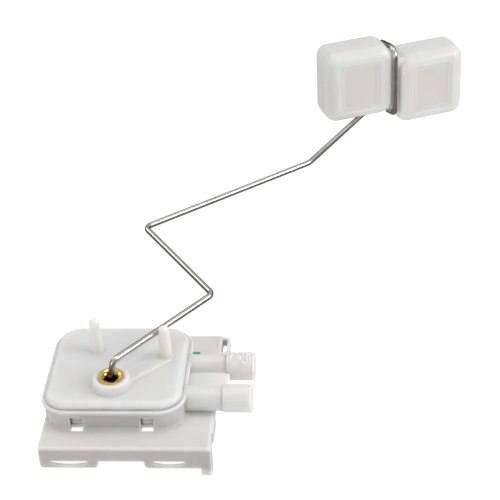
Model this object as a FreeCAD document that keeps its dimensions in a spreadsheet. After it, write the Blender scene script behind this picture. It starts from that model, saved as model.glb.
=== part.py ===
"""In-tank float level sender: a wire arm with a twin-block float turns a wiper over a resistor card.

Frame: millimetres, +Z up along the arm's pivot axis, +X towards the two lead stubs.
The origin is where the pivot axis meets the underside of the base plate, which seats on its bracket.
"""
import FreeCAD, Part
import math
import os
import re
from FreeCAD import Placement, Rotation, Vector

os.makedirs("parts", exist_ok=True)
doc = FreeCAD.newDocument("FloatLevelSender")
sheet = doc.addObject("Spreadsheet::Sheet", "Sizes")

SIZES = {
    # Base plate, its skirts and its snap tabs
    "plate_left": -23.2, "plate_right": 34.2, "plate_front": -20.75, "plate_back": 41.7,
    "plate_thick": 1.6, "plate_corner": 0.6, "skirt_wall": 1.4, "skirt_depth": 4.3,
    "tab_depth": 7.2, "leg_depth": 10.4, "left_tab_end": -3.5, "right_tab_start": 12.1,
    "right_tab_end": 31.5, "tab_corner": 1.4, "left_slot_width": 12.6, "right_slot_width": 10.8,
    "left_slot_mid": -13.3, "right_slot_mid": 20.4, "slot_height": 2.0, "slot_end": 1.1,
    "leg_width": 3.2, "leg_bulge": 0.5, "leg_length": 4.5, "leg_round": 0.6, "loop_reach": 2.9,
    "loop_start": 31.6, "loop_bar": 1.1, "loop_end_wall": 1.3, "loop_drop": 2.6,
    "loop_round": 1.8, "eye_round": 0.7, "step_start": -11.2, "step_end": -1.6, "step_out": 0.5,
    # Tub that the mechanism sits in, with its rim
    "tub_left": -23.0, "tub_right": 24.6, "tub_front": -11.1, "tub_back": 34.1, "tub_wall": 1.8,
    "tub_corner": 8.5, "rim_under": 7.85, "rim_top": 9.35, "rim_out": 0.8, "rim_round": 0.45,
    "foot_round": 1.2,
    # Windows in the tub's front and back walls for the cover's hooks
    "window_width": 4.3, "window_top": 6.3, "left_window_mid": -11.35, "right_window_mid": 12.6,
    "slit_reach": 0.85, "slit_inner": 2.6,
    # Lead stubs on the right wall, and the web between them
    "stub_height": 5.5, "front_stub_y": 0.8, "rear_stub_y": 18.2, "stem_radius": 4.3,
    "stem_end": 39.6, "stub_bore": 2.6, "web_thick": 1.6, "web_end": 39.0, "sleeve_radius": 4.9,
    "sleeve_end": 47.4, "sleeve_bore": 1.6, "sleeve_spigot": 2.2, "sleeve_edge": 0.5,
    "press_gap": 0.02,
    # Cover
    "lid_inset": 0.5, "lid_top": 11.85, "lid_edge": 2.3, "lid_wall": 1.5, "lid_corner": 8.0,
    "spigot_gap": 0.15, "spigot_wall": 1.2, "spigot_drop": 1.0, "boss_radius": 6.3,
    "boss_flare": 0.5, "boss_top": 15.5, "boss_edge": 0.8, "post_foot": 2.2, "post_tip": 1.85,
    "left_post_x": -7.6, "left_post_y": 19.4, "left_post_top": 25.3, "right_post_x": 16.9,
    "right_post_y": 15.65, "right_post_top": 24.9, "rib_width": 6.4, "rib_height": 0.7,
    "hook_width": 3.8, "hook_thick": 1.0, "hook_bottom": 2.4, "barb_out": 1.2, "barb_top": 6.15,
    "barb_low": 4.2,
    # Bush, washers and pivot
    "pin_radius": 1.1, "pin_bottom": 2.0, "run_gap": 0.05, "bush_flange": 4.45, "bush_top": 15.85,
    "bush_rim": 0.75, "bell_round": 2.2, "bush_well": 1.95, "bush_land": 11.6, "bush_wall": 0.75,
    "bush_bottom": 10.3, "washer_radius": 3.4, "thrust_low": 9.75, "thrust_high": 10.2,
    "wave_low": 9.3, "wave_high": 9.65, "bearing_radius": 3.2, "bearing_top": 3.4,
    # Wiper rotor on the pin, its spring and contacts
    "hub_radius": 4.2, "hub_low": 4.3, "hub_high": 9.2, "wiper_angle": 64.0, "rotor_reach": 17.0,
    "rotor_width": 6.0, "spine_width": 1.2, "rotor_low": 5.0, "rotor_high": 7.0,
    "clip_radius": 2.7, "clip_low": 3.5, "clip_high": 4.2, "clip_ring": 0.8, "clip_slot": 0.4,
    "spring_thick": 0.25, "spring_rivet_at": 7.0, "rivet_clear": 1.6, "spring_root": 5.2,
    "spring_bend": 9.0, "finger_width": 1.7, "finger_offset": 1.9, "inner_contact": 14.0,
    "outer_contact": 18.0, "contact_radius": 0.7, "contact_low": 3.35, "contact_high": 3.75,
    "contact_edge": 0.3, "low_head_rise": 0.35, "high_head_rise": 0.4,
    # Resistor card with its printed tracks and terminals
    "card_low": 2.2, "card_high": 3.2, "card_left": -18.0, "card_right": 20.5, "card_front": 7.0,
    "card_back": 31.0, "card_corner": 3.0, "card_wing": 12.0, "card_wing_front": -3.6,
    "tail_end": 27.1, "tail_front": 27.3, "tail_back": 29.7, "tail_gap": 0.15,
    "track_thick": 0.08, "track_width": 2.0, "track_start": 55.0, "track_sweep": 70.0,
    "stake_radius": 0.9, "stake_proud": 0.8, "left_stake_x": -14.5, "stake_y": 27.5,
    "right_stake_x": 14.0, "strip_width": 3.0, "strip_thick": 0.6, "strip_start": 14.8,
    "riser_x": 20.6, "barrel_start": 26.0, "barrel_end": 37.0, "barrel_radius": 2.1,
    "barrel_bore": 1.3, "rivet_x": 17.0, "rivet_head": 1.25, "rivet_shank": 0.7,
    "rivet_rise": 0.5,
    # Float arm: a bent wire lying in one level plane, then looped round the float's waist
    "arm_height": 21.35, "lean_start": 15.6, "first_x": 1.25, "first_y": 0.95, "second_x": 31.73,
    "second_y": 39.67, "third_x": 2.41, "third_y": 84.09, "fourth_x": 63.92, "fourth_y": 132.18,
    "loop_half": 9.2, "rise_x": -0.23, "riser_top": 13.3, "drop_x": -1.25, "drop_top": 18.3,
    "drop_low": -11.9, "hook_x": -2.0, "hook_y": -3.5, "hook_low": -13.0, "lean_bend": 2.5,
    "first_bend": 2.2, "second_bend": 3.2, "third_bend": 3.0, "fourth_bend": 6.0,
    "foot_bend": 4.0, "riser_bend": 3.0, "drop_bend": 4.2, "hook_bend": 2.2,
    # Float: two upright blocks, the left one standing higher, joined by a waist
    "float_x": 96.94, "float_y": 179.09, "float_z": 35.09, "float_yaw": 21.5,
    "block_length": 28.8, "block_height": 31.5, "block_depth": 18.0, "block_round": 5.0,
    "block_spacing": 33.25, "block_stagger": 6.5, "left_extra": 0.5, "right_extra": 1.1,
    "waist_length": 12.4, "waist_height": 23.0, "waist_depth": 15.0, "waist_rise": 0.2,
    "waist_round": 2.5, "float_wall": 1.3, "panel_width": 16.5, "panel_height": 20.5,
    "panel_depth": 0.45, "panel_corner": 2.5,
}
for row, (alias, number) in enumerate(SIZES.items(), start=1):
    sheet.set(f"A{row}", alias.replace("_", " "))
    sheet.set(f"B{row}", str(number))
    sheet.setAlias(f"B{row}", alias)
doc.recompute()


def size(alias):
    """The number that the sheet holds under this alias."""
    return float(sheet.get(alias))


def bound(expression):
    """The expression with each alias in it pointed at the sheet."""
    return re.sub(r"[a-z][a-z_]*", lambda word: "Sizes." + word.group(0), str(expression))


def bind(item, **expressions):
    """Bind properties to the sheet; at_x, at_y and at_z are the placement's coordinates."""
    for name, expression in expressions.items():
        path = "Placement.Base." + name[-1] if name.startswith("at_") else name
        item.setExpression(path, bound(expression))
    return item


def box(name, x_span, y_span, z_span):
    """A box between pairs of sheet expressions."""
    item = doc.addObject("Part::Box", name)
    bind(item, at_x=x_span[0], at_y=y_span[0], at_z=z_span[0])
    return bind(item, **{
        side: f"({span[1]}) - ({span[0]})"
        for side, span in zip(("Length", "Width", "Height"), (x_span, y_span, z_span))
    })


def disc(name, centre, radius, z_span):
    """A cylinder along Z at an (x, y) centre."""
    item = doc.addObject("Part::Cylinder", name)
    return bind(item, at_x=centre[0], at_y=centre[1], at_z=z_span[0],
                Radius=radius, Height=f"({z_span[1]}) - ({z_span[0]})")


def rod(name, x_span, centre, radius):
    """A cylinder along X at a (y, z) centre."""
    item = doc.addObject("Part::Cylinder", name)
    item.Placement.Rotation = Rotation(Vector(0, 1, 0), 90)
    return bind(item, at_x=x_span[0], at_y=centre[0], at_z=centre[1],
                Radius=radius, Height=f"({x_span[1]}) - ({x_span[0]})")


def cone(name, centre, low_radius, high_radius, z_span):
    """A cone along Z at an (x, y) centre."""
    item = doc.addObject("Part::Cone", name)
    return bind(item, at_x=centre[0], at_y=centre[1], at_z=z_span[0], Radius1=low_radius,
                Radius2=high_radius, Height=f"({z_span[1]}) - ({z_span[0]})")


def fuse(name, items):
    item = doc.addObject("Part::MultiFuse", name)
    item.Shapes = items
    item.Refine = True
    return item


def cut(name, base, tools):
    item = doc.addObject("Part::Cut", name)
    item.Base = base
    item.Tool = tools[0] if len(tools) == 1 else fuse(name + "_tools", tools)
    item.Refine = True
    return item


def common(name, items):
    item = doc.addObject("Part::MultiCommon", name)
    item.Shapes = items
    return item


def group(name, items):
    """Separate solids that share one node."""
    item = doc.addObject("Part::Compound", name)
    item.Links = items
    return item


def rounded(name, base, radius, wanted):
    """Round the base's edges for which wanted(edge) holds."""
    doc.recompute()
    item = doc.addObject("Part::Fillet", name)
    item.Base = base
    edges = [index for index, edge in enumerate(base.Shape.Edges, start=1) if wanted(edge)]
    item.Edges = [(index, radius, radius) for index in edges]
    return item


def upright(edge):
    """A straight edge along Z."""
    span = edge.BoundBox
    return span.ZLength > 0.01 and span.XLength < 0.01 and span.YLength < 0.01


def level_at(height):
    """A test for edges that lie flat at one height."""
    def test(edge):
        span = edge.BoundBox
        return abs(span.ZMin - height) < 0.01 and abs(span.ZMax - height) < 0.01

    return test


def tray_block(name, inset, z_span, corner):
    """A block with the tub's outline, drawn in by inset, and rounded corners."""
    plain = box(name + "_plain", (f"tub_left + {inset}", f"tub_right - ({inset})"),
                (f"tub_front + {inset}", f"tub_back - ({inset})"), z_span)
    return rounded(name, plain, corner, upright)


NODES = []


def finished(item, node):
    """Name a piece as one node of the assembly."""
    item.Label = node
    NODES.append(item)


def lens_slot(hand):
    """A slot through a snap tab: straight above, bowed below, with short upright ends."""
    half_width = size(f"{hand}_slot_width") / 2
    height = size("slot_height")
    bow_depth = height - size("slot_end")
    bow_radius = (half_width ** 2 + bow_depth ** 2) / (2 * bow_depth)
    bow = doc.addObject("Part::Cylinder", f"{hand}_slot_bow")
    bow.Placement.Rotation = Rotation(Vector(1, 0, 0), -90)
    bind(bow, at_x=f"{hand}_slot_mid", at_y="plate_front - 1", Height="skirt_wall + 2")
    bow.Placement.Base.z = bow_radius - height - size("skirt_depth")
    bow.Radius = bow_radius
    middle, width = f"{hand}_slot_mid", f"{hand}_slot_width"
    below = box(f"{hand}_slot_below", (f"{middle} - {width} / 2", f"{middle} + {width} / 2"),
                ("plate_front - 1", "plate_front + skirt_wall + 1"),
                ("0 - tab_depth", "0 - skirt_depth"))
    return common(f"{hand}_slot", [bow, below])


def snap_tab(name, x_span):
    """A tab that carries the front skirt on down to a snap slot."""
    plain = box(name + "_plain", x_span, ("plate_front", "plate_front + skirt_wall"),
                ("0 - tab_depth", "0 - skirt_depth + 1"))
    low = -size("tab_depth")

    def lower_corner(edge):
        span = edge.BoundBox
        along_y = span.YLength > 1 and span.XLength < 0.01 and span.ZLength < 0.01
        return along_y and span.ZMin < low + 0.1

    return rounded(name, plain, size("tab_corner"), lower_corner)


def base_housing():
    whole_x = ("plate_left", "plate_right")
    whole_y = ("plate_front", "plate_back")
    plate = rounded("plate", box("plate_plain", whole_x, whole_y, ("0", "plate_thick")),
                    size("plate_corner"), level_at(size("plate_thick")))
    front_skirt = box("front_skirt", whole_x, ("plate_front", "plate_front + skirt_wall"),
                      ("0 - skirt_depth", "plate_thick / 2"))
    left_skirt = box("left_skirt", ("plate_left", "plate_left + skirt_wall"), whole_y,
                     ("0 - skirt_depth", "plate_thick / 2"))
    right_skirt = box("right_skirt", ("plate_right - skirt_wall", "plate_right"), whole_y,
                      ("0 - skirt_depth", "plate_thick / 2"))
    step = box("right_step", ("plate_right - 1", "plate_right + step_out"), ("step_start", "step_end"),
               ("0 - skirt_depth", "plate_thick / 2"))
    leg_plain = box("leg_plain", ("plate_right - leg_width", "plate_right + leg_bulge"),
                    ("plate_front", "plate_front + leg_length"), ("0 - leg_depth", "plate_thick / 2"))
    leg = rounded("leg", leg_plain, size("leg_round"),
                  lambda edge: upright(edge) or level_at(-size("leg_depth"))(edge))
    tabs = [snap_tab("left_tab", ("plate_left", "left_tab_end")),
            snap_tab("right_tab", ("right_tab_start", "right_tab_end"))]
    loop_plain = box("loop_plain", ("plate_right - 1", "plate_right + loop_reach"),
                     ("loop_start", "plate_back"), ("0 - loop_drop", "plate_thick / 2"))
    far_side = size("plate_right") + 0.5
    loop_outer = rounded("loop_outer", loop_plain, size("loop_round"),
                         lambda edge: upright(edge) and edge.BoundBox.XMin > far_side)
    eye_plain = box("eye_plain", ("plate_right", "plate_right + loop_reach - loop_bar"),
                    ("loop_start + loop_end_wall", "plate_back - loop_end_wall"),
                    ("0 - loop_drop - 1", "plate_thick"))
    eye = rounded("loop_eye", eye_plain, size("eye_round"),
                  lambda edge: upright(edge) and edge.BoundBox.XMin > far_side)
    loop = cut("side_loop", loop_outer, [eye])
    tub = tray_block("tub", "0", ("plate_thick / 2", "rim_under + 0.5"), size("tub_corner"))
    rim_plain = tray_block("rim_outline", "0 - rim_out", ("rim_under", "rim_top"),
                           size("tub_corner") + size("rim_out"))
    rim = rounded("rim", rim_plain, size("rim_round"),
                  lambda edge: level_at(size("rim_top"))(edge) or level_at(size("rim_under"))(edge))
    stems = [rod(f"{end}_stem", ("tub_right - 0.3", "stem_end"), (f"{end}_stub_y", "stub_height"),
                 "stem_radius") for end in ("front", "rear")]
    web = box("stub_web", ("tub_right - 0.3", "web_end"), ("front_stub_y", "rear_stub_y"),
              ("stub_height - web_thick / 2", "stub_height + web_thick / 2"))

    def tub_foot(edge):
        span = edge.BoundBox
        inside = span.XMax < size("tub_right") + 0.1 and span.YMax < size("tub_back") + 0.1
        return level_at(size("plate_thick"))(edge) and inside and span.XMin > size("tub_left") - 0.1

    footed = rounded("tub_on_plate", fuse("plate_and_tub", [plate, tub]), size("foot_round"), tub_foot)
    shell = fuse("housing_shell", [footed, front_skirt, left_skirt, right_skirt, step, leg, *tabs,
                                   loop, rim, *stems, web])

    inside = tray_block("tub_inside", "tub_wall", ("plate_thick", "rim_top + 1"),
                        size("tub_corner") - size("tub_wall"))
    openings = [inside, lens_slot("left"), lens_slot("right")]
    openings += [rod(f"{end}_bore", ("tub_right - tub_wall - 1", "stem_end + 1"),
                     (f"{end}_stub_y", "stub_height"), "stub_bore") for end in ("front", "rear")]
    walls = {"front": ("tub_front - slit_reach", "tub_front + slit_inner"),
             "back": ("tub_back - slit_inner", "tub_back + slit_reach")}
    for side, wall in walls.items():
        for hand in ("left", "right"):
            middle = f"{hand}_window_mid"
            openings.append(box(f"{side}_{hand}_window",
                                (f"{middle} - window_width / 2", f"{middle} + window_width / 2"),
                                wall, ("0 - 1", "window_top")))
    openings.append(box("tail_notch", ("tub_right - tub_corner / 2", "tub_right + 1"),
                        ("tail_front - tail_gap", "tail_back + tail_gap"),
                        ("card_low - tail_gap", "card_high + tail_gap")))
    hollow = cut("housing_hollow", shell, openings)

    bearing_boss = disc("bearing_boss", (0, 0), "bearing_radius", ("plate_thick / 2", "bearing_top"))
    bearing_bore = disc("bearing_bore", (0, 0), "pin_radius + run_gap",
                        ("plate_thick", "bearing_top + 1"))
    bearing = cut("bearing", bearing_boss, [bearing_bore])
    stakes = []
    for hand in ("left", "right"):
        centre = (f"{hand}_stake_x", "stake_y")
        stakes += [disc(f"{hand}_stake", centre, "stake_radius",
                        ("plate_thick / 2", "card_high + stake_proud")),
                   disc(f"{hand}_stake_foot", centre, "stake_radius + 1",
                        ("plate_thick / 2", "card_low"))]
    finished(fuse("BaseHousing", [hollow, bearing, *stakes]), "base_housing")


def stop_post(hand):
    """A tapered post with a round tip, standing on the lid."""
    centre = (f"{hand}_post_x", f"{hand}_post_y")
    shaft = cone(f"{hand}_post_shaft", centre, "post_foot", "post_tip",
                 ("lid_top - 0.5", f"{hand}_post_top - post_tip"))
    tip = doc.addObject("Part::Sphere", f"{hand}_post_tip")
    bind(tip, at_x=centre[0], at_y=centre[1], at_z=f"{hand}_post_top - post_tip", Radius="post_tip")
    foot = cone(f"{hand}_post_foot", centre, "post_foot + 0.7", "post_foot",
                ("lid_top - 0.1", "lid_top + 0.8"))
    return [shaft, tip, foot]


def snap_hook(name, middle, wall_face, outward):
    """A tongue inside the wall with a barb that springs out into the wall's window."""
    near = f"{wall_face} - ({outward}) * spigot_gap"
    far = f"{wall_face} - ({outward}) * (spigot_gap + hook_thick)"
    across = (f"{middle} - hook_width / 2", f"{middle} + hook_width / 2")
    tongue = box(name + "_tongue", across, (near, far) if outward < 0 else (far, near),
                 ("hook_bottom", "rim_top"))
    barb = doc.addObject("Part::Wedge", name + "_barb")
    bind(barb, Xmin=across[0], Xmax=across[1], X2min=across[0], X2max=across[1])
    tip = {"Zmin": "barb_top - 0.5", "Zmax": "barb_top"}
    root = {"Zmin": "barb_low", "Zmax": "barb_top"}
    if outward < 0:
        bind(barb, Ymin=f"({near}) - barb_out", Ymax=near, Zmin=tip["Zmin"], Zmax=tip["Zmax"],
             Z2min=root["Zmin"], Z2max=root["Zmax"])
    else:
        bind(barb, Ymin=near, Ymax=f"({near}) + barb_out", Zmin=root["Zmin"], Zmax=root["Zmax"],
             Z2min=tip["Zmin"], Z2max=tip["Zmax"])
    return [tongue, barb]


def cover():
    lid_plain = tray_block("lid_outline", "lid_inset", ("rim_top", "lid_top"), size("lid_corner"))
    lid = rounded("lid", lid_plain, size("lid_edge"), level_at(size("lid_top")))
    under = tray_block("lid_under", "tub_wall + spigot_gap + spigot_wall",
                       ("rim_top - spigot_drop - 1", "lid_top - lid_wall"), size("lid_corner") - 2.5)
    spigot = tray_block("lid_spigot", "tub_wall + spigot_gap",
                        ("rim_top - spigot_drop", "rim_top + 0.2"),
                        size("tub_corner") - size("tub_wall") - size("spigot_gap"))
    boss_plain = disc("boss_plain", (0, 0), "boss_radius", ("lid_top - lid_wall", "boss_top"))
    boss = rounded("boss", boss_plain, size("boss_edge"), level_at(size("boss_top")))
    flare = cone("boss_flare_foot", (0, 0), "boss_radius + boss_flare", "boss_radius",
                 ("lid_top - 0.1", "lid_top + 2"))
    rib = doc.addObject("Part::Box", "boss_rib")
    towards_post = math.degrees(math.atan2(size("right_post_y"), size("right_post_x")))
    half_rib = size("rib_width") / 2
    rib.Placement = Placement(Vector(0, 0, 0), Rotation(Vector(0, 0, 1), towards_post)) * Placement(
        Vector(size("boss_radius") - 1, -half_rib, size("lid_top") - 0.1), Rotation())
    bind(rib, Width="rib_width", Height="rib_height + 0.1")
    rib.Length = math.hypot(size("right_post_x"), size("right_post_y")) - size("boss_radius") + 1
    hooks = []
    for hand in ("left", "right"):
        hooks += snap_hook(f"{hand}_front_hook", f"{hand}_window_mid", "(tub_front + tub_wall)", -1)
        hooks += snap_hook(f"{hand}_back_hook", f"{hand}_window_mid", "(tub_back - tub_wall)", 1)
    top = cut("lid_shell", fuse("lid_body", [lid, spigot]), [under])
    posts = stop_post("left") + stop_post("right")
    standing = fuse("cover_body", [top, boss, flare, rib, *posts, *hooks])
    barrel = "bush_well + bush_wall + press_gap"
    seat_low = "bush_top - bell_round"
    flange = "bush_flange + press_gap"
    under_flange = "bush_top - bush_rim"
    holes = [disc("bush_hole", (0, 0), barrel, ("lid_top - lid_wall - 1", "boss_top + 1")),
             cone("bush_seat", (0, 0), barrel, flange, (seat_low, under_flange)),
             disc("flange_seat", (0, 0), flange, (under_flange, "boss_top + 1"))]
    finished(cut("Cover", standing, holes), "cover")


def revolved_body(name, edges):
    """A PartDesign body: a closed profile in the XZ plane turned about Z."""
    body = doc.addObject("PartDesign::Body", name)
    profile = body.newObject("Sketcher::SketchObject", name + "Profile")
    plane = next(item for item in body.Origin.OriginFeatures if item.Role == "XZ_Plane")
    profile.AttachmentSupport = [(plane, "")]
    profile.MapMode = "FlatFace"
    profile.addGeometry(edges, False)
    turn = body.newObject("PartDesign::Revolution", name + "Turn")
    turn.Profile = profile
    turn.ReferenceAxis = (profile, ["V_Axis"])
    turn.Angle = 360
    body.Tip = turn
    return body


def pivot_bush():
    """A brass eyelet: a bell mouth over a deep well, and at its foot the land that the pin turns in."""
    bore = size("pin_radius") + size("run_gap")
    well = size("bush_well")
    barrel = well + size("bush_wall")
    top = size("bush_top")
    throat = top - size("bell_round")
    mouth = well + size("bell_round")
    under_rim = top - size("bush_rim")
    bottom = size("bush_bottom")
    land = size("bush_land")
    rim = [Vector(mouth, top, 0), Vector(size("bush_flange"), top, 0),
           Vector(size("bush_flange"), under_rim, 0), Vector(mouth, under_rim, 0)]
    lower = [Vector(barrel, throat, 0), Vector(barrel, bottom, 0), Vector(bore, bottom, 0),
             Vector(bore, land, 0), Vector(well, land, 0), Vector(well, throat, 0)]

    def quarter(radius):
        ring = Part.Circle(Vector(mouth, throat, 0), Vector(0, 0, 1), radius)
        return Part.ArcOfCircle(ring, math.pi / 2, math.pi)

    edges = [Part.LineSegment(start, end) for start, end in zip(rim, rim[1:])]
    edges.append(quarter(mouth - barrel))
    edges += [Part.LineSegment(start, end) for start, end in zip(lower, lower[1:])]
    edges.append(quarter(mouth - well))
    finished(revolved_body("PivotBush", edges), "pivot_bush")


def washer(name, node, low, high):
    ring = cut(name, disc(name + "_disc", (0, 0), "washer_radius", (low, high)),
               [disc(name + "_hole", (0, 0), "pin_radius + run_gap", (low + " - 1", high + " + 1"))])
    finished(ring, node)


def arm_clip():
    """A push-on ring under the rotor's hub, with three relief slots."""
    ring = cut("clip_ring", disc("clip_disc", (0, 0), "clip_radius", ("clip_low", "clip_high")),
               [disc("clip_hole", (0, 0), "pin_radius + press_gap", ("clip_low - 1", "clip_high + 1"))])
    slots = []
    for turn in (0, 120, 240):
        slot = doc.addObject("Part::Box", f"clip_slot_{turn}")
        bind(slot, Length="clip_radius - clip_ring", Width="clip_slot",
             Height="clip_high - clip_low + 2")
        corner = Placement(Vector(0, -size("clip_slot") / 2, size("clip_low") - 1), Rotation())
        slot.Placement = Placement(Vector(0, 0, 0), Rotation(Vector(0, 0, 1), turn)).multiply(corner)
        slots.append(slot)
    finished(cut("ArmClip", ring, slots), "arm_clip")


def float_placement():
    turn = Rotation(Vector(0, 0, 1), size("float_yaw"))
    return Placement(Vector(size("float_x"), size("float_y"), size("float_z")), turn)


def arm_points():
    """The corners of the wire's route, each with the radius of its bend."""
    level = size("arm_height")
    route = [(Vector(0, 0, size("pin_bottom")), None),
             (Vector(0, 0, size("lean_start")), size("lean_bend"))]
    for place in ("first", "second", "third", "fourth"):
        corner = Vector(size(f"{place}_x"), size(f"{place}_y"), level)
        route.append((corner, size(f"{place}_bend")))
    half = size("loop_half")
    loop = [(Vector(size("rise_x"), half, level - size("float_z")), size("foot_bend")),
            (Vector(size("rise_x"), half, size("riser_top")), size("riser_bend")),
            (Vector(size("drop_x"), -half, size("drop_top")), size("drop_bend")),
            (Vector(size("drop_x"), -half, size("drop_low")), size("hook_bend")),
            (Vector(size("hook_x"), size("hook_y"), size("hook_low")), None)]
    on_float = float_placement()
    return route + [(on_float.multVec(point), radius) for point, radius in loop]


def wire_path(route):
    """Straight runs joined by tangent arcs, as one wire."""
    edges = []
    start = route[0][0]
    for (before, _), (corner, radius), (after, _) in zip(route, route[1:], route[2:]):
        inward = (before - corner).normalize()
        outward = (after - corner).normalize()
        half_angle = inward.getAngle(outward) / 2
        reach = radius / math.tan(half_angle)
        begin, end = corner + inward * reach, corner + outward * reach
        middle_way = (inward + outward).normalize()
        middle = corner + middle_way * (radius / math.sin(half_angle) - radius)
        edges.append(Part.LineSegment(start, begin).toShape())
        edges.append(Part.Arc(begin, middle, end).toShape())
        start = end
    edges.append(Part.LineSegment(start, route[-1][0]).toShape())
    return Part.Wire(edges)


def float_arm():
    """A round wire swept along the arm's route: no primitive or sketch follows a route in space."""
    path = wire_path(arm_points())
    ring = Part.Wire(Part.Circle(arm_points()[0][0], Vector(0, 0, 1), size("pin_radius")).toShape())
    arm = doc.addObject("Part::Feature", "FloatArm")
    arm.Shape = path.makePipeShell([ring], True, True)
    expected = math.pi * size("pin_radius") ** 2 * path.Length
    assert abs(arm.Shape.Volume - expected) < 0.01 * expected, (arm.Shape.Volume, expected)
    finished(arm, "float_arm")


def at_wiper(item):
    """Turn a piece that is built along +X to the wiper's rest direction."""
    turn = Placement(Vector(0, 0, 0), Rotation(Vector(0, 0, 1), size("wiper_angle")))
    item.Placement = turn.multiply(item.Placement)
    return item


def wiper_rotor():
    hub = disc("rotor_hub", (0, 0), "hub_radius", ("hub_low", "hub_high"))
    beam = box("rotor_beam", ("0", "rotor_reach"), ("0 - rotor_width / 2", "rotor_width / 2"),
               ("rotor_low", "rotor_high"))
    beam_end = disc("rotor_end", ("rotor_reach", 0), "rotor_width / 2", ("rotor_low", "rotor_high"))
    spine = box("rotor_spine", ("0", "rotor_reach - 2"), ("0 - spine_width / 2", "spine_width / 2"),
                ("rotor_high - 0.5", "hub_high - 1"))
    solid = fuse("rotor_solid", [hub, beam, beam_end, spine])
    holes = [disc("rotor_bore", (0, 0), "pin_radius + press_gap", ("hub_low - 1", "hub_high + 1")),
             disc("rotor_rivet_hole", ("spring_rivet_at", 0), "rivet_shank + press_gap",
                  ("rotor_low - 1", "rotor_high + 1")),
             box("rotor_rivet_clear",
                 ("spring_rivet_at - rivet_clear", "spring_rivet_at + rivet_clear"),
                 ("0 - rivet_clear", "rivet_clear"), ("rotor_high", "hub_high + 1"))]
    finished(at_wiper(cut("WiperRotor", solid, holes)), "wiper_rotor")


def prism(name, corners, offset, width):
    """A plate whose outline is drawn in the XZ plane, with a width along Y."""
    outline = doc.addObject("Part::Polygon", name + "_outline")
    outline.Nodes = [Vector(x, offset - width / 2, z) for x, z in corners]
    outline.Close = True
    item = doc.addObject("Part::Extrusion", name)
    item.Base = outline
    item.Dir = Vector(0, 1, 0)
    item.LengthFwd = width
    item.Solid = True
    return item


def wiper_spring():
    """A forked leaf spring: each finger slopes down to its own contact."""
    thick = size("spring_thick")
    high = size("rotor_low")
    low = size("contact_high")
    root = box("spring_root_plate", ("spring_root", "spring_bend"),
               ("0 - finger_offset - finger_width / 2", "finger_offset + finger_width / 2"),
               ("rotor_low - spring_thick", "rotor_low"))
    fingers = []
    for hand, contact in ((-1, "inner_contact"), (1, "outer_contact")):
        tip = size(contact) + 1
        knee = size("spring_bend") - 0.3
        flat = tip - 2
        corners = [(knee, high - thick), (flat, low), (tip, low), (tip, low + thick),
                   (flat, low + thick), (knee, high)]
        fingers.append(prism(f"{contact}_finger", corners, hand * size("finger_offset"),
                             size("finger_width")))
    leaf = cut("spring_leaf", fuse("spring_whole", [root, *fingers]),
               [disc("spring_hole", ("spring_rivet_at", 0), "rivet_shank + press_gap",
                     ("rotor_low - 1", "rotor_low + 1"))])
    finished(at_wiper(leaf), "wiper_spring")


def spring_rivet():
    centre = ("spring_rivet_at", 0)
    under = "rotor_low - spring_thick"
    shank = disc("spring_rivet_shank", centre, "rivet_shank", (under + " - 0.2", "rotor_high + 0.2"))
    low_head = disc("spring_rivet_low", centre, "rivet_head", (under + " - low_head_rise", under))
    high_head = disc("spring_rivet_high", centre, "rivet_head",
                     ("rotor_high", "rotor_high + high_head_rise"))
    finished(at_wiper(fuse("SpringRivet", [shank, low_head, high_head])), "spring_rivet")


def wiper_contacts():
    buttons = []
    for hand, contact in ((-1, "inner_contact"), (1, "outer_contact")):
        plain = disc(f"{contact}_plain", (contact, f"{hand} * finger_offset"), "contact_radius",
                     ("contact_low", "contact_high"))
        buttons.append(rounded(f"{contact}_button", plain, size("contact_edge"),
                               level_at(size("contact_low"))))
    finished(at_wiper(group("WiperContacts", buttons)), "wiper_contacts")


def resistor_card():
    z_span = ("card_low", "card_high")
    main_plain = box("card_main_plain", ("card_left", "card_right"),
                     ("card_front", "card_back"), z_span)
    main = rounded("card_main", main_plain, size("card_corner"), upright)
    wing = box("card_wing_board", ("card_wing", "card_right"),
               ("card_wing_front", "card_front + 6"), z_span)
    tail = box("card_tail", ("card_right - 5", "tail_end"), ("tail_front", "tail_back"), z_span)
    holes = [disc(f"card_{hand}_hole", (f"{hand}_stake_x", "stake_y"), "stake_radius + tail_gap",
                  ("card_low - 1", "card_high + 1")) for hand in ("left", "right")]
    holes += [disc(f"card_{end}_rivet_hole", ("rivet_x", f"{end}_stub_y"), "rivet_shank + press_gap",
                   ("card_low - 1", "card_high + 1")) for end in ("front", "rear")]
    finished(cut("ResistorCard", fuse("card_board", [main, wing, tail]), holes), "resistor_card")


def arc_track(name, node, middle):
    """A printed arc on the card, centred on the pivot."""
    discs = []
    for rim, sign in (("outer", "+"), ("inner", "-")):
        item = disc(f"{name}_{rim}", (0, 0), f"{middle} {sign} track_width / 2",
                    ("card_high", "card_high + track_thick"))
        item.Placement.Rotation = Rotation(Vector(0, 0, 1), size("track_start"))
        item.Angle = size("track_sweep")
        discs.append(item)
    finished(cut(name, discs[0], [discs[1]]), node)


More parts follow.
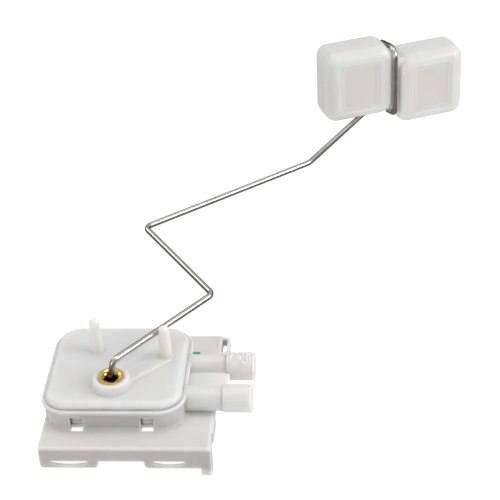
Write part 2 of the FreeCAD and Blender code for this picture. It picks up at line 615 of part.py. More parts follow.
def terminal(end):
    """A strip on the card that rises to the stub's axis and ends in a crimp barrel for the lead."""
    y_span = (f"{end}_stub_y - strip_width / 2", f"{end}_stub_y + strip_width / 2")
    foot = box(f"{end}_foot", ("strip_start", "riser_x + strip_thick"), y_span,
               ("card_high", "card_high + strip_thick"))
    riser = box(f"{end}_riser", ("riser_x", "riser_x + strip_thick"), y_span,
                ("card_high", "stub_height + strip_thick / 2"))
    neck = box(f"{end}_neck", ("riser_x", "barrel_start + 1"), y_span,
               ("stub_height - strip_thick / 2", "stub_height + strip_thick / 2"))
    centre = (f"{end}_stub_y", "stub_height")
    barrel = rod(f"{end}_barrel", ("barrel_start", "barrel_end"), centre, "barrel_radius")
    holes = [rod(f"{end}_barrel_bore", ("barrel_start + 1", "barrel_end + 1"), centre, "barrel_bore"),
             disc(f"{end}_foot_hole", ("rivet_x", f"{end}_stub_y"), "rivet_shank + press_gap",
                  ("card_high - 1", "card_high + 2"))]
    whole = cut(f"{end}_terminal", fuse(f"{end}_strip", [foot, riser, neck, barrel]), holes)
    finished(whole, f"terminal_{end}")


def terminal_rivets():
    rivets = []
    for end in ("front", "rear"):
        centre = ("rivet_x", f"{end}_stub_y")
        top = "card_high + strip_thick"
        rivets.append(fuse(f"{end}_rivet", [
            disc(f"{end}_rivet_shank", centre, "rivet_shank", ("card_low - 0.2", f"{top} + 0.2")),
            disc(f"{end}_rivet_top", centre, "rivet_head", (top, f"{top} + rivet_rise")),
            disc(f"{end}_rivet_foot", centre, "rivet_head - 0.2", ("card_low - 0.4", "card_low"))]))
    finished(group("TerminalRivets", rivets), "terminal_rivets")


def lead_sleeve(end):
    """A collar pressed into the stub's end; the lead passes through it into the crimp barrel."""
    centre = (f"{end}_stub_y", "stub_height")
    collar_plain = rod(f"{end}_collar_plain", ("stem_end", "sleeve_end"), centre, "sleeve_radius")
    doc.recompute()
    collar = rounded(f"{end}_collar", collar_plain, size("sleeve_edge"),
                     lambda edge: edge.BoundBox.XLength < 0.01)
    plug = rod(f"{end}_plug", ("stem_end - sleeve_spigot", "stem_end + 0.5"), centre,
               "stub_bore - press_gap")
    passage = rod(f"{end}_passage", ("stem_end - sleeve_spigot - 1", "sleeve_end + 1"), centre,
                  "sleeve_bore")
    sleeve = cut(f"{end}_sleeve", fuse(f"{end}_sleeve_solid", [collar, plug]), [passage])
    finished(sleeve, f"lead_sleeve_{end}")


def local_box(name, length, depth, height, middle=("0", "0")):
    """A box about an (x, z) point of the float's own frame, centred on its mid-plane."""
    return box(name, (f"{middle[0]} - ({length}) / 2", f"{middle[0]} + ({length}) / 2"),
               (f"0 - ({depth}) / 2", f"({depth}) / 2"),
               (f"{middle[1]} - ({height}) / 2", f"{middle[1]} + ({height}) / 2"))


# Each block of the float: its middle along and above the float's centre, and its length.
BLOCKS = {
    "left": ("(left_extra - block_spacing) / 2", "block_stagger / 2", "(block_length + left_extra)"),
    "right": ("(block_spacing - right_extra) / 2", "0 - block_stagger / 2",
              "(block_length + right_extra)"),
}


def float_solid(name, wall):
    """The float's outer form, or its cavity when the wall is taken off every side."""
    taken = f"2 * {wall}"
    softer = size(wall) if wall != "0" else 0
    parts = []
    for hand, (middle_x, middle_z, length) in BLOCKS.items():
        plain = local_box(f"{name}_{hand}_plain", f"{length} - {taken}", f"block_depth - {taken}",
                          f"block_height - {taken}", (middle_x, middle_z))
        parts.append(rounded(f"{name}_{hand}", plain, size("block_round") - softer, lambda edge: True))
    waist_plain = local_box(f"{name}_waist_plain", "waist_length", f"waist_depth - {taken}",
                            f"waist_height - {taken}", ("0", "waist_rise"))
    parts.append(rounded(f"{name}_waist", waist_plain, size("waist_round") - softer,
                         lambda edge: edge.BoundBox.XLength > 1))
    return fuse(name, parts)


def float_shells():
    """Two hollow halves that meet on the mid-plane, with a sunk panel on each block's broad faces."""
    panels = []
    for hand, (middle_x, middle_z, _) in BLOCKS.items():
        for face, near in (("front", "0 - block_depth / 2 - 1"),
                           ("back", "block_depth / 2 - panel_depth")):
            plain = box(f"{face}_{hand}_panel_plain",
                        (f"{middle_x} - panel_width / 2", f"{middle_x} + panel_width / 2"),
                        (near, f"{near} + 1 + panel_depth"),
                        (f"{middle_z} - panel_height / 2", f"{middle_z} + panel_height / 2"))
            panels.append(rounded(f"{face}_{hand}_panel", plain, size("panel_corner"),
                                  lambda edge: edge.BoundBox.YLength > 0.5))
    cavity = float_solid("float_cavity", "float_wall")
    body = cut("float_hollow", float_solid("float_form", "0"), [cavity, *panels])
    halves = {"front": ("0 - block_depth", "0"), "back": ("0", "block_depth")}
    for side, y_span in halves.items():
        room = box(f"{side}_room", ("0 - 2 * block_length", "2 * block_length"), y_span,
                   ("0 - block_height", "block_height"))
        half = common(f"float_{side}_half", [body, room])
        half.Placement = float_placement()
        finished(half, f"float_{side}_shell")


base_housing()
cover()
pivot_bush()
washer("ThrustWasher", "thrust_washer", "thrust_low", "thrust_high")
washer("WaveWasher", "wave_washer", "wave_low", "wave_high")
arm_clip()
float_arm()
wiper_rotor()
wiper_spring()
spring_rivet()
wiper_contacts()
resistor_card()
arc_track("ResistorTrack", "resistor_track", "outer_contact")
arc_track("CollectorTrack", "collector_track", "inner_contact")
for stub in ("front", "rear"):
    terminal(stub)
    lead_sleeve(stub)
terminal_rivets()
float_shells()
doc.recompute()

for item in doc.Objects:
    troubles = [state for state in item.State if state in ("Invalid", "Error")]
    assert not troubles, (item.Name, troubles)
for node in NODES:
    shape = node.Shape
    assert not shape.isNull() and shape.isValid() and shape.Volume > 0, node.Label
    print(f"{node.Label:20s} solids {len(shape.Solids)}  volume {shape.Volume:10.2f}")
    shape.exportStep(os.path.join("parts", node.Label + ".step"))
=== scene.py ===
"""Looks for the float level sender: every piece rides on its CAD body. Lengths are in metres."""
import math

import bmesh
import bpy
from mathutils import Matrix, Vector, noise


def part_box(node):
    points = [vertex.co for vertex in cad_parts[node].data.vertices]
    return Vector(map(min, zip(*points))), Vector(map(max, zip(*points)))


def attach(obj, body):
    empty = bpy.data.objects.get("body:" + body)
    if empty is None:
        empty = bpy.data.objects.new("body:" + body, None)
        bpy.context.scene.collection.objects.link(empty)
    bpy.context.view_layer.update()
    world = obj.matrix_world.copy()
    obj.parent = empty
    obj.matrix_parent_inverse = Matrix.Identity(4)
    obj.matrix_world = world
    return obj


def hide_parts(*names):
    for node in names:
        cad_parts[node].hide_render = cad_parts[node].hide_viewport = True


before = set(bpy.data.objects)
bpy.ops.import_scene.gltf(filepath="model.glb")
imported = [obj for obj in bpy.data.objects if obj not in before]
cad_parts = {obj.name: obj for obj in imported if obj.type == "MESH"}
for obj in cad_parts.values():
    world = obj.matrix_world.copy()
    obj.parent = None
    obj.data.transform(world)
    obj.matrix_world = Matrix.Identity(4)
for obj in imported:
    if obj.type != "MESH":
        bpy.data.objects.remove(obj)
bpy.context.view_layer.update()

MM = 0.001
scene = bpy.context.scene


# ---------------------------------------------------------------- node materials

def set_stops(ramp, stops):
    """Fill a colour ramp: stops are (position, colour or grey)."""
    while len(ramp.elements) < len(stops):
        ramp.elements.new(0.5)
    for element, (position, value) in zip(ramp.elements, stops):
        element.position = position
        colour = (value, value, value) if isinstance(value, (int, float)) else value
        element.color = (*colour, 1)


class Shader:
    """A node material whose helpers return sockets; patterns are laid out in millimetres."""

    def __init__(self, name):
        self.material = bpy.data.materials.new(name)
        self.material.use_nodes = True
        self.tree = self.material.node_tree
        self.bsdf = self.tree.nodes["Principled BSDF"]
        where = self.node("ShaderNodeTexCoord")
        scale = self.node("ShaderNodeMapping")
        scale.inputs["Scale"].default_value = (1000, 1000, 1000)
        self.link(where.outputs["Object"], scale.inputs["Vector"])
        self.place = scale.outputs["Vector"]

    def node(self, kind, **settings):
        item = self.tree.nodes.new(kind)
        for key, value in settings.items():
            setattr(item, key, value)
        return item

    def link(self, source, target):
        self.tree.links.new(source, target)

    def set(self, **values):
        """Set the shader's own sockets; an underscore stands for a space."""
        for key, value in values.items():
            self.bsdf.inputs[key.replace("_", " ")].default_value = value

    def noise(self, per_mm, detail=3.0, stretch=(1, 1, 1), distortion=0.0):
        """A noise whose features are 1 / per_mm across, longer where stretch is under 1."""
        source = self.place
        if stretch != (1, 1, 1):
            mapping = self.node("ShaderNodeMapping")
            mapping.inputs["Scale"].default_value = stretch
            self.link(source, mapping.inputs["Vector"])
            source = mapping.outputs["Vector"]
        item = self.node("ShaderNodeTexNoise")
        item.inputs["Scale"].default_value = per_mm
        item.inputs["Detail"].default_value = detail
        item.inputs["Distortion"].default_value = distortion
        self.link(source, item.inputs["Vector"])
        return item.outputs["Fac"]

    def ramp(self, factor, stops):
        """Colours or greys along a factor: stops as in set_stops."""
        item = self.node("ShaderNodeValToRGB")
        set_stops(item.color_ramp, stops)
        self.link(factor, item.inputs["Fac"])
        return item.outputs["Color"]

    def between(self, factor, low, high):
        """From low to high over the part of a noise that holds most of its values."""
        return self.ramp(factor, [(0.3, low), (0.7, high)])

    def mix(self, factor, first, second, clamp=True):
        """From first at factor 0 to second at factor 1; each is a colour or a socket."""
        item = self.node("ShaderNodeMix", data_type="RGBA", clamp_factor=clamp)
        self.link(factor, item.inputs["Factor"])
        for socket, value in zip(item.inputs[6:8], (first, second)):
            if isinstance(value, tuple):
                socket.default_value = (*value, 1)
            else:
                self.link(value, socket)
        return item.outputs[2]

    def base(self, colour):
        self.link(colour, self.bsdf.inputs["Base Color"])

    def roughness(self, factor, low, high):
        self.link(self.between(factor, low, high), self.bsdf.inputs["Roughness"])

    def height_share(self, start, end):
        """0 below the start height, 1 above the end height, in mm over the plate's underside."""
        split = self.node("ShaderNodeSeparateXYZ")
        self.link(self.place, split.inputs["Vector"])
        share = self.node("ShaderNodeMapRange", interpolation_type="SMOOTHSTEP")
        share.inputs["From Min"].default_value = start
        share.inputs["From Max"].default_value = end
        self.link(split.outputs["Z"], share.inputs["Value"])
        return share.outputs["Result"]

    def bump(self, *layers):
        """Stacked bumps: each layer is (height socket, depth in mm)."""
        normal = None
        for height, depth in layers:
            item = self.node("ShaderNodeBump")
            item.inputs["Strength"].default_value = 1.0
            item.inputs["Distance"].default_value = depth * MM
            self.link(height, item.inputs["Height"])
            if normal is not None:
                self.link(normal, item.inputs["Normal"])
            normal = item.outputs["Normal"]
        self.link(normal, self.bsdf.inputs["Normal"])


def moulded(name, warm, cool, painted_shade_colour, edge, glow, depth, rough, orange_peel):
    """Natural white plastic: cloudy colour, edges painted paler as a highlight, satin skin, light that
    travels inside.

    Where the mesh marks painted shade, the colour goes to the darker shade colour as the marked value rises;
    below zero it goes the other way, a painted lighter tone. depth is how far the light travels and
    orange_peel how deep the skin waves, both in mm.
    """
    skin = Shader(name)
    cloud = skin.ramp(skin.noise(0.08, 5, distortion=0.8), [(0.38, warm), (0.62, cool)])
    # Painted shade: where the mesh marks it, the colour goes to the darker shade colour; below zero, to a
    # painted lighter tone.
    painted_shade = skin.node("ShaderNodeAttribute", attribute_name="painted_shade").outputs["Fac"]
    shade = skin.mix(painted_shade, cloud, painted_shade_colour, clamp=False)
    # Painted highlight: convex edges, found by pointiness, are made paler toward the edge colour.
    pointiness = skin.node("ShaderNodeNewGeometry").outputs["Pointiness"]
    edge_highlight = skin.ramp(pointiness, [(0.505, 0.0), (0.56, 0.5)])
    skin.base(skin.mix(edge_highlight, shade, edge))
    skin.roughness(skin.noise(0.5, 4), rough - 0.05, rough + 0.07)
    skin.set(Subsurface_Weight=glow, Subsurface_Scale=depth * MM, IOR=1.48)
    skin.bsdf.inputs["Subsurface Radius"].default_value = (1.0, 0.95, 0.88)
    skin.bump((skin.noise(0.22, 3), orange_peel), (skin.noise(5.0, 3), 0.006))
    return skin.material


def steel_wire():
    """Drawn and plated wire: fine scratches, faint tarnish, and a painted dark brown reflection at the foot
    that stands in the bush.
    """
    wire = Shader("steel_wire")
    plated = wire.between(wire.noise(0.12, 5, distortion=1.0), (0.56, 0.52, 0.48), (0.66, 0.63, 0.60))
    # Painted reflection: the wire goes dark brown below about 16.5 mm, at its foot in the bush.
    wire.base(wire.mix(wire.height_share(16.5, 20.6), (0.11, 0.075, 0.05), plated))
    wire.roughness(wire.noise(1.1, 5, stretch=(0.25, 0.25, 1)), 0.15, 0.28)
    wire.set(Metallic=1.0, Specular_Tint=(0.3, 0.28, 0.26, 1))
    wire.bump((wire.noise(3.2, 4, stretch=(0.3, 0.3, 1)), 0.006))
    return wire.material


def metal(name, low, high, rough):
    """A stamped or turned metal with a worked surface."""
    sheet = Shader(name)
    sheet.base(sheet.between(sheet.noise(0.5, 4), low, high))
    sheet.roughness(sheet.noise(1.5, 4), rough - 0.05, rough + 0.08)
    sheet.set(Metallic=1.0)
    sheet.bump((sheet.noise(4.0, 4), 0.004))
    return sheet.material


def brass():
    """Polished brass round the bell mouth, painted dark shade down in the well."""
    shell = Shader("polished_brass")
    polish = shell.between(shell.noise(0.6, 4), (0.78, 0.54, 0.17), (0.90, 0.69, 0.27))
    # Painted shade: the brass goes near-black brown below about 14 mm, down in the well.
    shell.base(shell.mix(shell.height_share(13.9, 16.0), (0.045, 0.024, 0.010), polish))
    shell.roughness(shell.noise(1.5, 4), 0.12, 0.24)
    shell.set(Metallic=1.0)
    shell.bump((shell.noise(0.9, 3), 0.02), (shell.noise(5.0, 4, stretch=(1, 1, 0.2)), 0.003))
    return shell.material


def circuit_board():
    """Green solder mask over a fine glass weave."""
    board = Shader("solder_mask")
    board.base(board.between(board.noise(0.8, 4), (0.06, 0.34, 0.16), (0.12, 0.46, 0.24)))
    threads = []
    for direction in "XY":
        thread = board.node("ShaderNodeTexWave", bands_direction=direction)
        thread.inputs["Scale"].default_value = 1.6
        board.link(board.place, thread.inputs["Vector"])
        threads.append((thread.outputs["Fac"], 0.01))
    board.roughness(board.noise(0.9, 3), 0.28, 0.42)
    board.bump(*threads)
    return board.material


def carbon_ink():
    """Printed resistor ink, matt and slightly grainy."""
    ink = Shader("carbon_ink")
    ink.base(ink.between(ink.noise(3.0, 4), (0.012, 0.012, 0.014), (0.03, 0.03, 0.033)))
    ink.roughness(ink.noise(2.0, 3), 0.5, 0.7)
    ink.bump((ink.noise(9.0, 3), 0.006))
    return ink.material


def backdrop():
    """A pale light table: white, faintly mottled, and lit a little from below."""
    table = Shader("light_table")
    table.base(table.between(table.noise(0.004, 3), 0.27, 0.30))
    table.set(Roughness=0.75, Emission_Color=(1, 1, 1, 1), Emission_Strength=0.82)
    return table.material


# Each skin's edge colour is a painted highlight on convex edges, and its third colour is a painted shade.
PAINTED_EDGE_HIGHLIGHT = (0.80, 0.81, 0.805)
HOUSING_SKIN = moulded(
    "housing_plastic", warm=(0.64, 0.62, 0.60), cool=(0.635, 0.64, 0.635), painted_shade_colour=(0.46, 0.44, 0.435),
    edge=PAINTED_EDGE_HIGHLIGHT, glow=0.9, depth=3.0, rough=0.36, orange_peel=0.06)
COVER_SKIN = moulded(
    "cover_plastic", warm=(0.755, 0.725, 0.70), cool=(0.735, 0.745, 0.735), painted_shade_colour=(0.66, 0.63, 0.62),
    edge=PAINTED_EDGE_HIGHLIGHT, glow=0.9, depth=4.5, rough=0.34, orange_peel=0.07)
SLEEVE_SKIN = moulded(
    "sleeve_plastic", warm=(0.74, 0.71, 0.685), cool=(0.73, 0.73, 0.72), painted_shade_colour=(0.7, 0.7, 0.7),
    edge=PAINTED_EDGE_HIGHLIGHT, glow=0.9, depth=3.0, rough=0.38, orange_peel=0.08)
FLOAT_SKIN = moulded(
    "float_plastic", warm=(0.665, 0.64, 0.62), cool=(0.655, 0.67, 0.655), painted_shade_colour=(0.65, 0.625, 0.605),
    edge=(0.74, 0.76, 0.75), glow=0.9, depth=4.0, rough=0.33, orange_peel=0.10)
INNER_SKIN = moulded(
    "rotor_plastic", warm=(0.60, 0.59, 0.56), cool=(0.66, 0.65, 0.62), painted_shade_colour=(0.6, 0.6, 0.6),
    edge=(0.7, 0.7, 0.7), glow=0.3, depth=1.5, rough=0.4, orange_peel=0.04)
WIRE = steel_wire()
BRASS = brass()
RIVET_BRASS = metal("rivet_brass", (0.62, 0.44, 0.16), (0.74, 0.56, 0.24), 0.28)
SPRING = metal("spring_sheet", (0.50, 0.49, 0.47), (0.62, 0.61, 0.59), 0.3)
CONTACT = metal("contact_alloy", (0.66, 0.50, 0.28), (0.78, 0.62, 0.38), 0.26)
TINNED = metal("tinned_strip", (0.62, 0.61, 0.58), (0.74, 0.73, 0.71), 0.34)
BOARD = circuit_board()
CARBON = carbon_ink()

KEPT_NODES = {
    "pivot_bush": BRASS, "thrust_washer": INNER_SKIN, "wave_washer": SPRING, "arm_clip": SPRING,
    "float_arm": WIRE, "wiper_rotor": INNER_SKIN, "wiper_spring": CONTACT, "spring_rivet": RIVET_BRASS,
    "wiper_contacts": CONTACT, "resistor_card": BOARD, "resistor_track": CARBON, "collector_track": CONTACT,
    "terminal_front": TINNED, "terminal_rear": TINNED, "terminal_rivets": TINNED,
}
for node, material in KEPT_NODES.items():
    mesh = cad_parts[node].data
    mesh.materials.clear()
    mesh.materials.append(material)


# ---------------------------------------------------------------- pieces

def link_piece(name, mesh, material, body, slot, *nodes):
    """Put a finished mesh in the scene, riding on its body in place of its CAD nodes."""
    piece = bpy.data.objects.new(name, mesh)
    scene.collection.objects.link(piece)
    mesh.materials.clear()
    mesh.materials.append(material)
    for polygon in mesh.polygons:
        polygon.use_smooth = True
    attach(piece, body)
    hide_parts(*nodes)
    return piece


def finished_mesh(piece):
    """The mesh that a piece's modifiers make; the piece itself is then taken away."""
    view = bpy.context.evaluated_depsgraph_get()
    mesh = bpy.data.meshes.new_from_object(piece.evaluated_get(view))
    bpy.data.objects.remove(piece)
    return mesh


def soften(name, node, voxel, rounds, material):
    """A moulding with soft edges: the CAD solid rebuilt on a fine even grid (voxel in mm) and relaxed."""
    shell = bmesh.new()
    shell.from_mesh(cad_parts[node].data)
    bmesh.ops.remove_doubles(shell, verts=shell.verts, dist=0.001 * MM)
    mesh = bpy.data.meshes.new(name)
    shell.to_mesh(mesh)
    shell.free()
    draft = bpy.data.objects.new(name + "_draft", mesh)
    scene.collection.objects.link(draft)
    grid = draft.modifiers.new("grid", "REMESH")
    grid.mode = "VOXEL"
    grid.voxel_size = voxel * MM
    relax = draft.modifiers.new("relax", "SMOOTH")
    relax.factor = 0.5
    relax.iterations = rounds
    return link_piece(name, finished_mesh(draft), material, "housing", "housing", node)


def mark_painted_shade(mesh, measure):
    """Store measure(place in mm, normal) as the mesh's painted-shade value, which its material reads."""
    layer = mesh.attributes.new("painted_shade", "FLOAT", "POINT")
    for vert, value in zip(mesh.vertices, layer.data):
        value.value = measure(vert.co / MM, vert.normal)


def smoothstep(value):
    """0 up to 0, 1 from 1, and a soft rise between."""
    value = min(1.0, max(0.0, value))
    return value * value * (3 - 2 * value)


def painted_housing_shade(point, normal):
    """Painted shade on the front faces of the tub, most at its middle, and of the skirts; below zero,
    painted light that makes the stems paler.
    """
    plate_top, rim, skirt_top, tab_bottom = 1.7, 9.6, 0.9, -8.5
    stem_start, stem_bottom, stem_share = 24.5, 2.2, -0.38
    front = smoothstep((-normal.y - 0.1) / 0.6)
    tub = 0.62 * smoothstep((point.z - plate_top) / 1.5) * smoothstep((rim - point.z) / 1.2)
    tub *= 1 - 0.6 * smoothstep((abs(point.x) - 10) / 8)
    skirt = 0.85 * smoothstep((skirt_top - point.z) / 1.2) * smoothstep((point.z - tab_bottom) / 2.0)
    stems = smoothstep((point.x - stem_start) / 2.0) * smoothstep((point.z - stem_bottom) / 0.8)
    return front * (tub + skirt) * (1 - stems) + stem_share * stems


def clear_bearing(mesh):
    """Keep the softened bearing bore open round the arm's pin: wall out, floor below the pin's end."""
    bore, floor_top, pin_end = 1.18, 1.88, 2.08
    for vert in mesh.vertices:
        x, y, z = vert.co / MM
        radius = math.hypot(x, y)
        if radius < bore and floor_top < z < pin_end:
            vert.co.z = floor_top * MM
        elif 0.8 * bore < radius < bore and pin_end <= z:
            vert.co.x, vert.co.y = x * bore / radius * MM, y * bore / radius * MM


housing = soften("housing_moulding", "base_housing", 0.22, 5, HOUSING_SKIN)
clear_bearing(housing.data)
# Painted shade on the housing's front walls and skirts, painted light on its stems.
mark_painted_shade(housing.data, painted_housing_shade)
soften("cover_moulding", "cover", 0.2, 8, COVER_SKIN)


def revolve(profile, steps):
    """A bmesh lathed round X: the profile is a closed loop of (x, radius)."""
    turned = bmesh.new()
    rings = []
    for step in range(steps):
        angle = math.tau * step / steps
        spin = (math.cos(angle), math.sin(angle))
        rings.append([turned.verts.new((x, r * spin[0], r * spin[1])) for x, r in profile])
    for step, ring in enumerate(rings):
        following = rings[(step + 1) % steps]
        for at in range(len(profile)):
            after = (at + 1) % len(profile)
            turned.faces.new((ring[at], ring[after], following[after], following[at]))
    bmesh.ops.recalc_face_normals(turned, faces=turned.faces)
    return turned


def arc_points(centre, radius, start, end, count):
    """Points along an arc in the profile plane, angles in degrees."""
    turns = [math.radians(start + (end - start) * step / count) for step in range(count + 1)]
    return [(centre[0] + radius * math.cos(turn), centre[1] + radius * math.sin(turn)) for turn in turns]


def sleeve(name, node, ragged):
    """A push-on sleeve with a bead at its mouth; ragged gives its top the torn moulding flash."""
    low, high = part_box(node)
    length = (high.x - low.x) / MM
    outer = (high.z - low.z) / MM / 2
    bore, lip, skin = 1.6, 0.9, outer - 0.14
    corner, groove, bead_round = 0.4, 0.16, 0.35
    barrel, barrel_steps = length - lip - 0.9, 30
    profile = [(0.0, bore)]
    profile += arc_points((corner, skin - corner), corner, 180, 90, 6)
    profile += [(corner + barrel * step / barrel_steps, skin) for step in range(1, barrel_steps + 1)]
    profile += [(length - lip - 0.25, skin - groove), (length - lip, skin - groove)]
    profile += arc_points((length - lip + bead_round, outer - bead_round), bead_round, 150, 90, 5)
    profile += arc_points((length - corner, outer - corner), corner, 90, 0, 7)
    profile += [(length, outer - 1.2), (length - 0.15, bore + 0.75)]
    profile += [(length - 0.5, bore + 0.2), (length - 1.2, bore)]
    turned = revolve(profile, 120)
    centre = Vector((low.x, (low.y + high.y) / 2, (low.z + high.z) / 2))
    for vert in turned.verts:
        x, y, z = vert.co
        radius = math.hypot(y, z)
        if radius > skin - 0.05 and corner < x < length - lip - corner:
            crest = smoothstep((z / radius - 0.55) / 0.35)
            lump = noise.noise(Vector((x * 0.9, y * 0.8, ragged * 7.0)))
            tooth = abs(noise.noise(Vector((x * 0.75, y * 0.45, 3.0 + ragged)))) * 1.5
            lift = 0.04 * lump + ragged * crest * min(0.55, tooth)
            grow = 1 + lift / radius
            y, z = y * grow, z * grow
        vert.co = Vector((x, y, z)) * MM + centre
    mesh = bpy.data.meshes.new(name)
    turned.to_mesh(mesh)
    turned.free()
    link_piece(name, mesh, SLEEVE_SKIN, "housing", "sleeve", node)


sleeve("sleeve_front", "lead_sleeve_front", 0.0)
sleeve("sleeve_rear", "lead_sleeve_rear", 1.0)


# Float, in mm: two upright hollow blocks, each (length, depth, height) and (middle x, middle z) in the
# float's own frame, on a waist that the wire goes round.
FLOAT_CENTRE = Vector((96.94, 179.09, 35.09))
FLOAT_YAW = math.radians(21.5)
BLOCKS = (((29.3, 18.0, 31.5), (-16.375, 3.25)), ((29.9, 18.0, 31.5), (16.075, -3.25)))
BLOCK_CORNER = 5.0
WAIST = (12.4, 15.0, 23.0)
WAIST_CORNER = 2.5
WAIST_RISE = 0.2
SEAM_PROUD = 0.12
PANEL_STEP = 0.32
PANEL_FRAME_STEP = 0.28
INNER_CORNER_POWER = 7


def axis_stations(half, corner, pitch, arc_steps):
    """Grid stations along one axis of a rounded block: even in the middle, even in angle round a corner."""
    flat = half - corner
    count = max(2, round(2 * flat / pitch))
    middle = [-flat + 2 * flat * step / count for step in range(count + 1)]
    arc = [flat + corner * math.tan(math.radians(45 * step / arc_steps)) for step in range(1, arc_steps + 1)]
    return [-value for value in reversed(arc)] + middle + arc


def rounded_block(size, corner, pitch, arc_steps=7):
    """A box with round edges and corners: the quad grid of a cube pulled onto the rounded shape."""
    half = [side / 2 for side in size]
    stations = [axis_stations(side, corner, pitch, arc_steps) for side in half]
    block = bmesh.new()
    found = {}

    def vertex(indices):
        if indices not in found:
            point = Vector([stations[axis][index] for axis, index in enumerate(indices)])
            core = Vector([min(max(value, corner - side), side - corner)
                           for value, side in zip(point, half)])
            found[indices] = block.verts.new(core + (point - core).normalized() * corner)
        return found[indices]

    last = [len(line) - 1 for line in stations]
    for axis in range(3):
        side_a, side_b = [other for other in range(3) if other != axis]
        for end in (0, last[axis]):
            for a in range(last[side_a]):
                for b in range(last[side_b]):
                    corners = []
                    for step_a, step_b in ((0, 0), (1, 0), (1, 1), (0, 1)):
                        indices = [0, 0, 0]
                        indices[axis] = end
                        indices[side_a] = a + step_a
                        indices[side_b] = b + step_b
                        corners.append(vertex(tuple(indices)))
                    block.faces.new(corners)
    bmesh.ops.recalc_face_normals(block, faces=block.faces)
    return block


def panel_depth(x, z):
    """How far the front and back panels sink at a point: an outer step, then an inner one."""
    half_wide, half_high, corner, frame_width, slope = 9.2, 10.8, 3.0, 1.8, 0.6
    out_x = max(abs(x) - (half_wide - corner), 0.0)
    out_z = max(abs(z) - (half_high - corner), 0.0)
    inside = corner - math.hypot(out_x, out_z)
    if out_x == 0.0 and out_z == 0.0:
        inside = min(half_wide - abs(x), half_high - abs(z))
    outer_step = PANEL_STEP * smoothstep(inside / slope)
    return outer_step + PANEL_FRAME_STEP * smoothstep((inside - frame_width) / slope)


def panel_share(point):
    """How far a point of the finished float, in mm, lies inside one of its sunk panels, 0 to 1."""
    middle_x, middle_z = BLOCKS[0][1] if point.x < 0 else BLOCKS[1][1]
    sunk = panel_depth(point.x - middle_x, point.z - middle_z) / (PANEL_STEP + PANEL_FRAME_STEP)
    return sunk if abs(point.y) > WAIST[1] / 2 else 0.0


def square_inner_corner(block, half, inner):
    """Crisper front upright edge on the side towards the waist (inner 1 is +X), beside the wire."""
    flat_x, flat_y = half[0] - BLOCK_CORNER, half[1] - BLOCK_CORNER
    for vert in block.verts:
        across = inner * vert.co.x - flat_x
        ahead = -vert.co.y - flat_y
        if across > 0 and ahead > 0:
            power_sum = across ** INNER_CORNER_POWER + ahead ** INNER_CORNER_POWER
            square = math.hypot(across, ahead) / power_sum ** (1 / INNER_CORNER_POWER)
            grow = 1 + (square - 1) * smoothstep((half[2] - abs(vert.co.z)) / (1.2 * BLOCK_CORNER))
            vert.co.x = inner * (flat_x + across * grow)
            vert.co.y = -(flat_y + ahead * grow)


def float_block(size, inner):
    """One block of the float: sunk panels front and back, a weld bead round its middle plane."""
    trimmed = [side - 2 * SEAM_PROUD for side in size]
    face = size[1] / 2 - SEAM_PROUD
    block = rounded_block(trimmed, BLOCK_CORNER, 0.5)
    square_inner_corner(block, [side / 2 for side in trimmed], inner)
    block.normal_update()
    for vert in block.verts:
        x, y, z = vert.co
        if abs(y) > face - 0.02:
            vert.co.y -= math.copysign(panel_depth(x, z), y)
        if abs(y) < 0.8:
            away = Vector((x, 0.0, z))
            outward = vert.normal.copy()
            outward.y = 0.0
            if away.length > 1.0 and outward.length > 0.1:
                vert.co += outward.normalized() * SEAM_PROUD * (1 - smoothstep(abs(y) / 0.7))
    return block


def float_piece():
    """Both blocks and the waist joined into one shell, placed where the arm holds it."""
    drafts = []
    for size, (middle_x, middle_z) in BLOCKS:
        block = float_block(size, 1 if middle_x < 0 else -1)
        bmesh.ops.translate(block, verts=block.verts, vec=(middle_x, 0, middle_z))
        drafts.append(block)
    waist = rounded_block(WAIST, WAIST_CORNER, 0.8, 5)
    bmesh.ops.translate(waist, verts=waist.verts, vec=(0, 0, WAIST_RISE))
    drafts.append(waist)
    pieces = []
    for index, draft in enumerate(drafts):
        mesh = bpy.data.meshes.new(f"float_draft_{index}")
        draft.to_mesh(mesh)
        draft.free()
        piece = bpy.data.objects.new(mesh.name, mesh)
        scene.collection.objects.link(piece)
        pieces.append(piece)
    body = pieces.pop()
    for index, piece in enumerate(pieces):
        union = body.modifiers.new(f"union_{index}", "BOOLEAN")
        union.operation = "UNION"
        union.solver = "EXACT"
        union.object = piece
    mesh = finished_mesh(body)
    for piece in pieces:
        bpy.data.objects.remove(piece)
    # Painted shade: the float's sunk panels take the darker shade colour.
    mark_painted_shade(mesh, lambda point, normal: panel_share(point * MM))  # the mesh is still in mm here
    turn = Matrix.Rotation(FLOAT_YAW, 4, "Z")
    mesh.transform(Matrix.Translation(FLOAT_CENTRE * MM) @ turn @ Matrix.Scale(MM, 4))
    link_piece("float_moulding", mesh, FLOAT_SKIN, "arm", "float", "float_front_shell", "float_back_shell")


float_piece()


# ---------------------------------------------------------------- stage, light and camera

FLOOR_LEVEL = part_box("base_housing")[0].z
FLOOR_HALF = 3.0


def floor():
    """A wide table at the leg's foot, which mirrors don't see, so that bright wire keeps its dark edges."""
    mesh = bpy.data.meshes.new("floor")
    corners = [(-1, -1), (1, -1), (1, 1), (-1, 1)]
    mesh.from_pydata([(x * FLOOR_HALF, y * FLOOR_HALF, FLOOR_LEVEL) for x, y in corners], [], [(0, 1, 2, 3)])
    mesh.materials.append(backdrop())
    plane = bpy.data.objects.new("floor", mesh)
    scene.collection.objects.link(plane)
    plane.visible_glossy = False


def softbox(name, place, aim, size, power):
    """An oblong area light at a place, turned to an aim point."""
    light = bpy.data.lights.new(name, "AREA")
    light.shape = "RECTANGLE"
    light.size, light.size_y = size
    light.energy = power
    lamp = bpy.data.objects.new(name, light)
    lamp.location = place
    lamp.rotation_mode = "QUATERNION"
    lamp.rotation_quaternion = (Vector(aim) - Vector(place)).to_track_quat("-Z", "Y")
    scene.collection.objects.link(lamp)


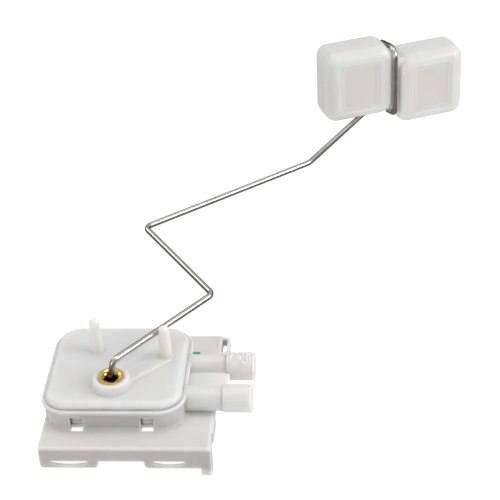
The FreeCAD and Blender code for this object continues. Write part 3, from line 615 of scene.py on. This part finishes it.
def sky():
    """A white studio: bright overhead, greyer round the sides."""
    world = bpy.data.worlds.new("studio")
    world.use_nodes = True
    scene.world = world
    tree = world.node_tree
    where = tree.nodes.new("ShaderNodeTexCoord")
    split = tree.nodes.new("ShaderNodeSeparateXYZ")
    ramp = tree.nodes.new("ShaderNodeValToRGB")
    tree.links.new(where.outputs["Generated"], split.inputs["Vector"])
    lift = tree.nodes.new("ShaderNodeMath")
    lift.operation = "MULTIPLY_ADD"
    lift.inputs[1].default_value, lift.inputs[2].default_value = 0.5, 0.5
    tree.links.new(split.outputs["Z"], lift.inputs[0])
    tree.links.new(lift.outputs["Value"], ramp.inputs["Fac"])
    tree.links.new(ramp.outputs["Color"], tree.nodes["Background"].inputs["Color"])
    set_stops(ramp.color_ramp, [(0.0, 0.35), (0.44, 0.28), (0.52, 0.28), (0.62, 0.5), (0.8, 0.9)])
    tree.nodes["Background"].inputs["Strength"].default_value = 0.72


def camera():
    """The view from the front, above the housing, turned slightly to the left."""
    lens = bpy.data.cameras.new("camera")
    lens.lens = 108
    lens.sensor_width = 36
    lens.clip_start, lens.clip_end = 0.01, 20
    lens.dof.use_dof = False
    body = bpy.data.objects.new("camera", lens)
    right, up = Vector((0.9974, 0.0574, -0.0432)), Vector((0.0044, 0.5510, 0.8345))
    back = right.cross(up)
    turn = Matrix((right, up, back)).transposed().to_4x4()
    body.matrix_world = Matrix.Translation(Vector((83.32, -394.96, 326.84)) * MM) @ turn
    scene.collection.objects.link(body)
    scene.camera = body


floor()
sky()
softbox("overhead", (0.02, 0.20, 0.85), (0.04, 0.08, 0), (0.5, 0.4), 1.5)
softbox("right_side", (0.80, -0.05, 0.50), (0.04, 0.08, 0.02), (0.55, 0.4), 4.0)
softbox("left_back", (-0.70, 0.55, 0.50), (0.04, 0.08, 0.02), (0.35, 0.35), 1.0)
softbox("left_front", (-0.55, -0.55, 0.25), (0.04, 0.06, 0.02), (0.5, 0.5), 1.3)
camera()
scene.view_settings.view_transform = "Standard"
